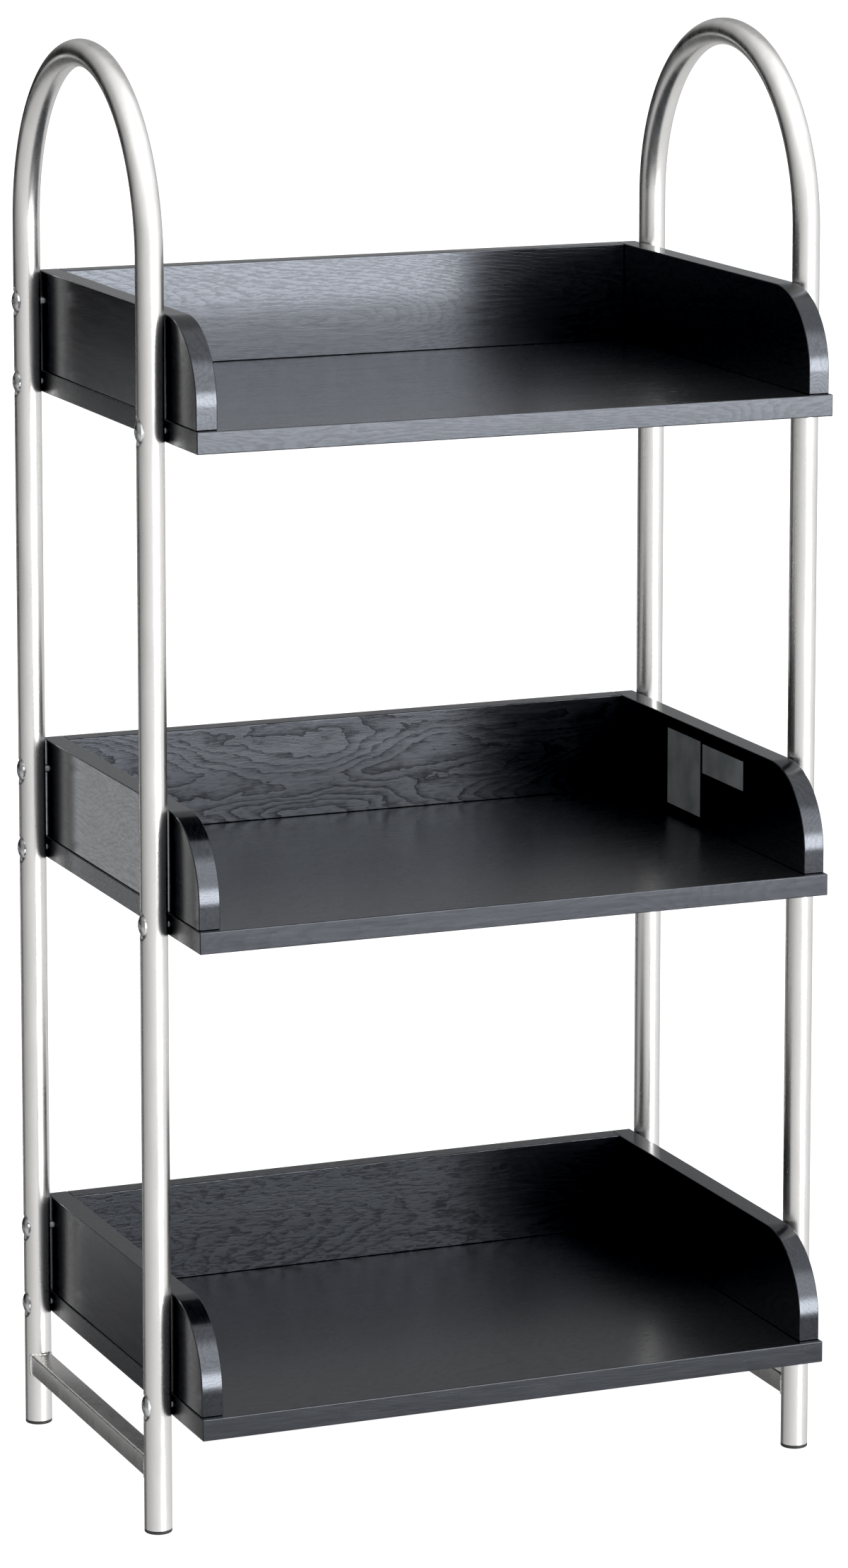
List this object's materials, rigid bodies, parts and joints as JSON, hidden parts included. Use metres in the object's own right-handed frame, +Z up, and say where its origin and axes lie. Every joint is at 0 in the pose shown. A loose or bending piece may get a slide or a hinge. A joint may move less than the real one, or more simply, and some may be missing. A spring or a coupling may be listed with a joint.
{
  "type": "tiered shoe rack",
  "caption": "Tiered shoe rack: open-fronted trays of black woodgrain board with rounded side walls, bolted between inverted-U hoops of satin silver tube with low square cross rails.",
  "frame": {"origin": "on the floor, midway between the outermost faces in X and in Y", "axes": "+X to the right of a person who faces the open front, +Y to the rear, +Z up"},
  "size_m": [0.5, 0.328, 1.0049],
  "materials": {
    "satin_silver_tube": "satin silver lacquer on steel tube",
    "black_ash_board": "black ash woodgrain foil on particle board, semi-gloss",
    "black_plastic": "moulded black plastic",
    "nickel_bolt": "bright nickel plate",
    "zinc_steel": "bright zinc plate",
    "label_paper": "blank satin label",
    "beech_dowel": "plain beech"
  },
  "bodies": {
    "root": {"left_hoop": "satin_silver_tube", "left_cross_rail": "satin_silver_tube", "left_front_foot_cap": "black_plastic", "left_rear_foot_cap": "black_plastic", "right_hoop": "satin_silver_tube", "right_cross_rail": "satin_silver_tube", "right_front_foot_cap": "black_plastic", "right_rear_foot_cap": "black_plastic", "bottom_base_board": "black_ash_board", "bottom_left_side": "black_ash_board", "bottom_right_side": "black_ash_board", "bottom_back_panel": "black_ash_board", "bottom_frame_bolts": "nickel_bolt", "bottom_barrel_nuts": "zinc_steel", "bottom_base_screws": "zinc_steel", "bottom_dowels": "beech_dowel", "middle_base_board": "black_ash_board", "middle_left_side": "black_ash_board", "middle_right_side": "black_ash_board", "middle_back_panel": "black_ash_board", "middle_frame_bolts": "nickel_bolt", "middle_barrel_nuts": "zinc_steel", "middle_base_screws": "zinc_steel", "middle_dowels": "beech_dowel", "top_base_board": "black_ash_board", "top_left_side": "black_ash_board", "top_right_side": "black_ash_board", "top_back_panel": "black_ash_board", "top_frame_bolts": "nickel_bolt", "top_barrel_nuts": "zinc_steel", "top_base_screws": "zinc_steel", "top_dowels": "beech_dowel", "middle_blank_labels": "label_paper"}
  },
  "joints": []
}
